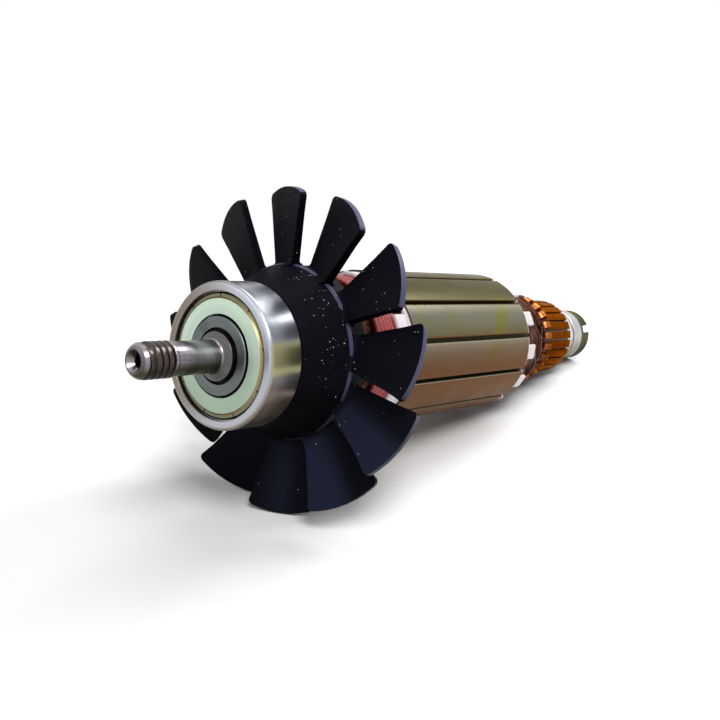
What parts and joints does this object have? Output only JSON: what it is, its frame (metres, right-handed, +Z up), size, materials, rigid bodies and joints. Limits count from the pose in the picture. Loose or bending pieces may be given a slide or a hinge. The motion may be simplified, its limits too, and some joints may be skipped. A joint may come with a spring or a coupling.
{
  "type": "motor armature",
  "caption": "Wound rotor of a hand tool motor, lying: threaded shaft, shielded ball bearings, axial fan, slotted core with windings, commutator and notched end collar.",
  "frame": {"origin": "centre of the footprint box, on the surface that the rotor lies on", "axes": "+X towards the rear bearing, +Z up; the shaft runs down to the rear in the XZ plane"},
  "size_m": [0.1742, 0.07, 0.0688],
  "materials": {
    "shaft_steel": "turned",
    "ring_steel": "ground",
    "ball_steel": "polished",
    "cage_steel": "pressed",
    "shield_steel": "pressed",
    "fan_plastic": "moulded",
    "core_varnish": "varnished",
    "insulator_white": "moulded",
    "slot_paper": "paper",
    "slot_wedge": "varnished",
    "winding_wire": "enamelled",
    "banding_cord": "lacquered",
    "lead_wire": "enamelled",
    "commutator_copper": "turned",
    "commutator_resin": "moulded",
    "bush_brass": "turned",
    "tube_plastic": "extruded",
    "collar_steel": "turned"
  },
  "bodies": {
    "rotor": {"shaft": "shaft_steel", "fan": "fan_plastic", "shaft_insulating_tube": "tube_plastic", "front_bearing_inner_ring": "ring_steel", "lamination_stack": "core_varnish", "front_end_insulator": "insulator_white", "rear_end_insulator": "insulator_white", "slot_coils": "winding_wire", "slot_liners": "slot_paper", "slot_wedges": "slot_wedge", "front_winding_head": "winding_wire", "rear_winding_head": "winding_wire", "front_banding_cord": "banding_cord", "commutator_bars": "commutator_copper", "commutator_moulding": "commutator_resin", "commutator_bush": "bush_brass", "commutator_leads": "lead_wire", "rear_collar": "collar_steel", "rear_bearing_inner_ring": "ring_steel", "notched_end_collar": "collar_steel"},
    "front_outer_ring": {"front_bearing_outer_ring": "ring_steel", "front_bearing_front_shield": "shield_steel", "front_bearing_rear_shield": "shield_steel"},
    "front_ball_set": {"front_bearing_balls": "ball_steel", "front_bearing_cage": "cage_steel"},
    "rear_outer_ring": {"rear_bearing_outer_ring": "ring_steel", "rear_bearing_front_shield": "shield_steel", "rear_bearing_rear_shield": "shield_steel"},
    "rear_ball_set": {"rear_bearing_balls": "ball_steel", "rear_bearing_cage": "cage_steel"}
  },
  "joints": [
    {"name": "front_bearing_spin", "type": "hinge", "parent": "rotor", "child": "front_outer_ring", "pos_m": [-0.06207, 0, 0.03733], "axis": [0.9801, 0, -0.1984], "continuous": true},
    {"name": "front_cage_orbit", "type": "hinge", "parent": "rotor", "child": "front_ball_set", "pos_m": [-0.06207, 0, 0.03733], "axis": [0.9801, 0, -0.1984], "continuous": true},
    {"name": "rear_bearing_spin", "type": "hinge", "parent": "rotor", "child": "rear_outer_ring", "pos_m": [0.0773, 0, 0.00913], "axis": [0.9801, 0, -0.1984], "continuous": true},
    {"name": "rear_cage_orbit", "type": "hinge", "parent": "rotor", "child": "rear_ball_set", "pos_m": [0.0773, 0, 0.00913], "axis": [0.9801, 0, -0.1984], "continuous": true}
  ],
  "couplings": [
    {"joint": "front_cage_orbit", "follows": "front_bearing_spin", "ratio": 0.617},
    {"joint": "rear_cage_orbit", "follows": "rear_bearing_spin", "ratio": 0.57917}
  ]
}
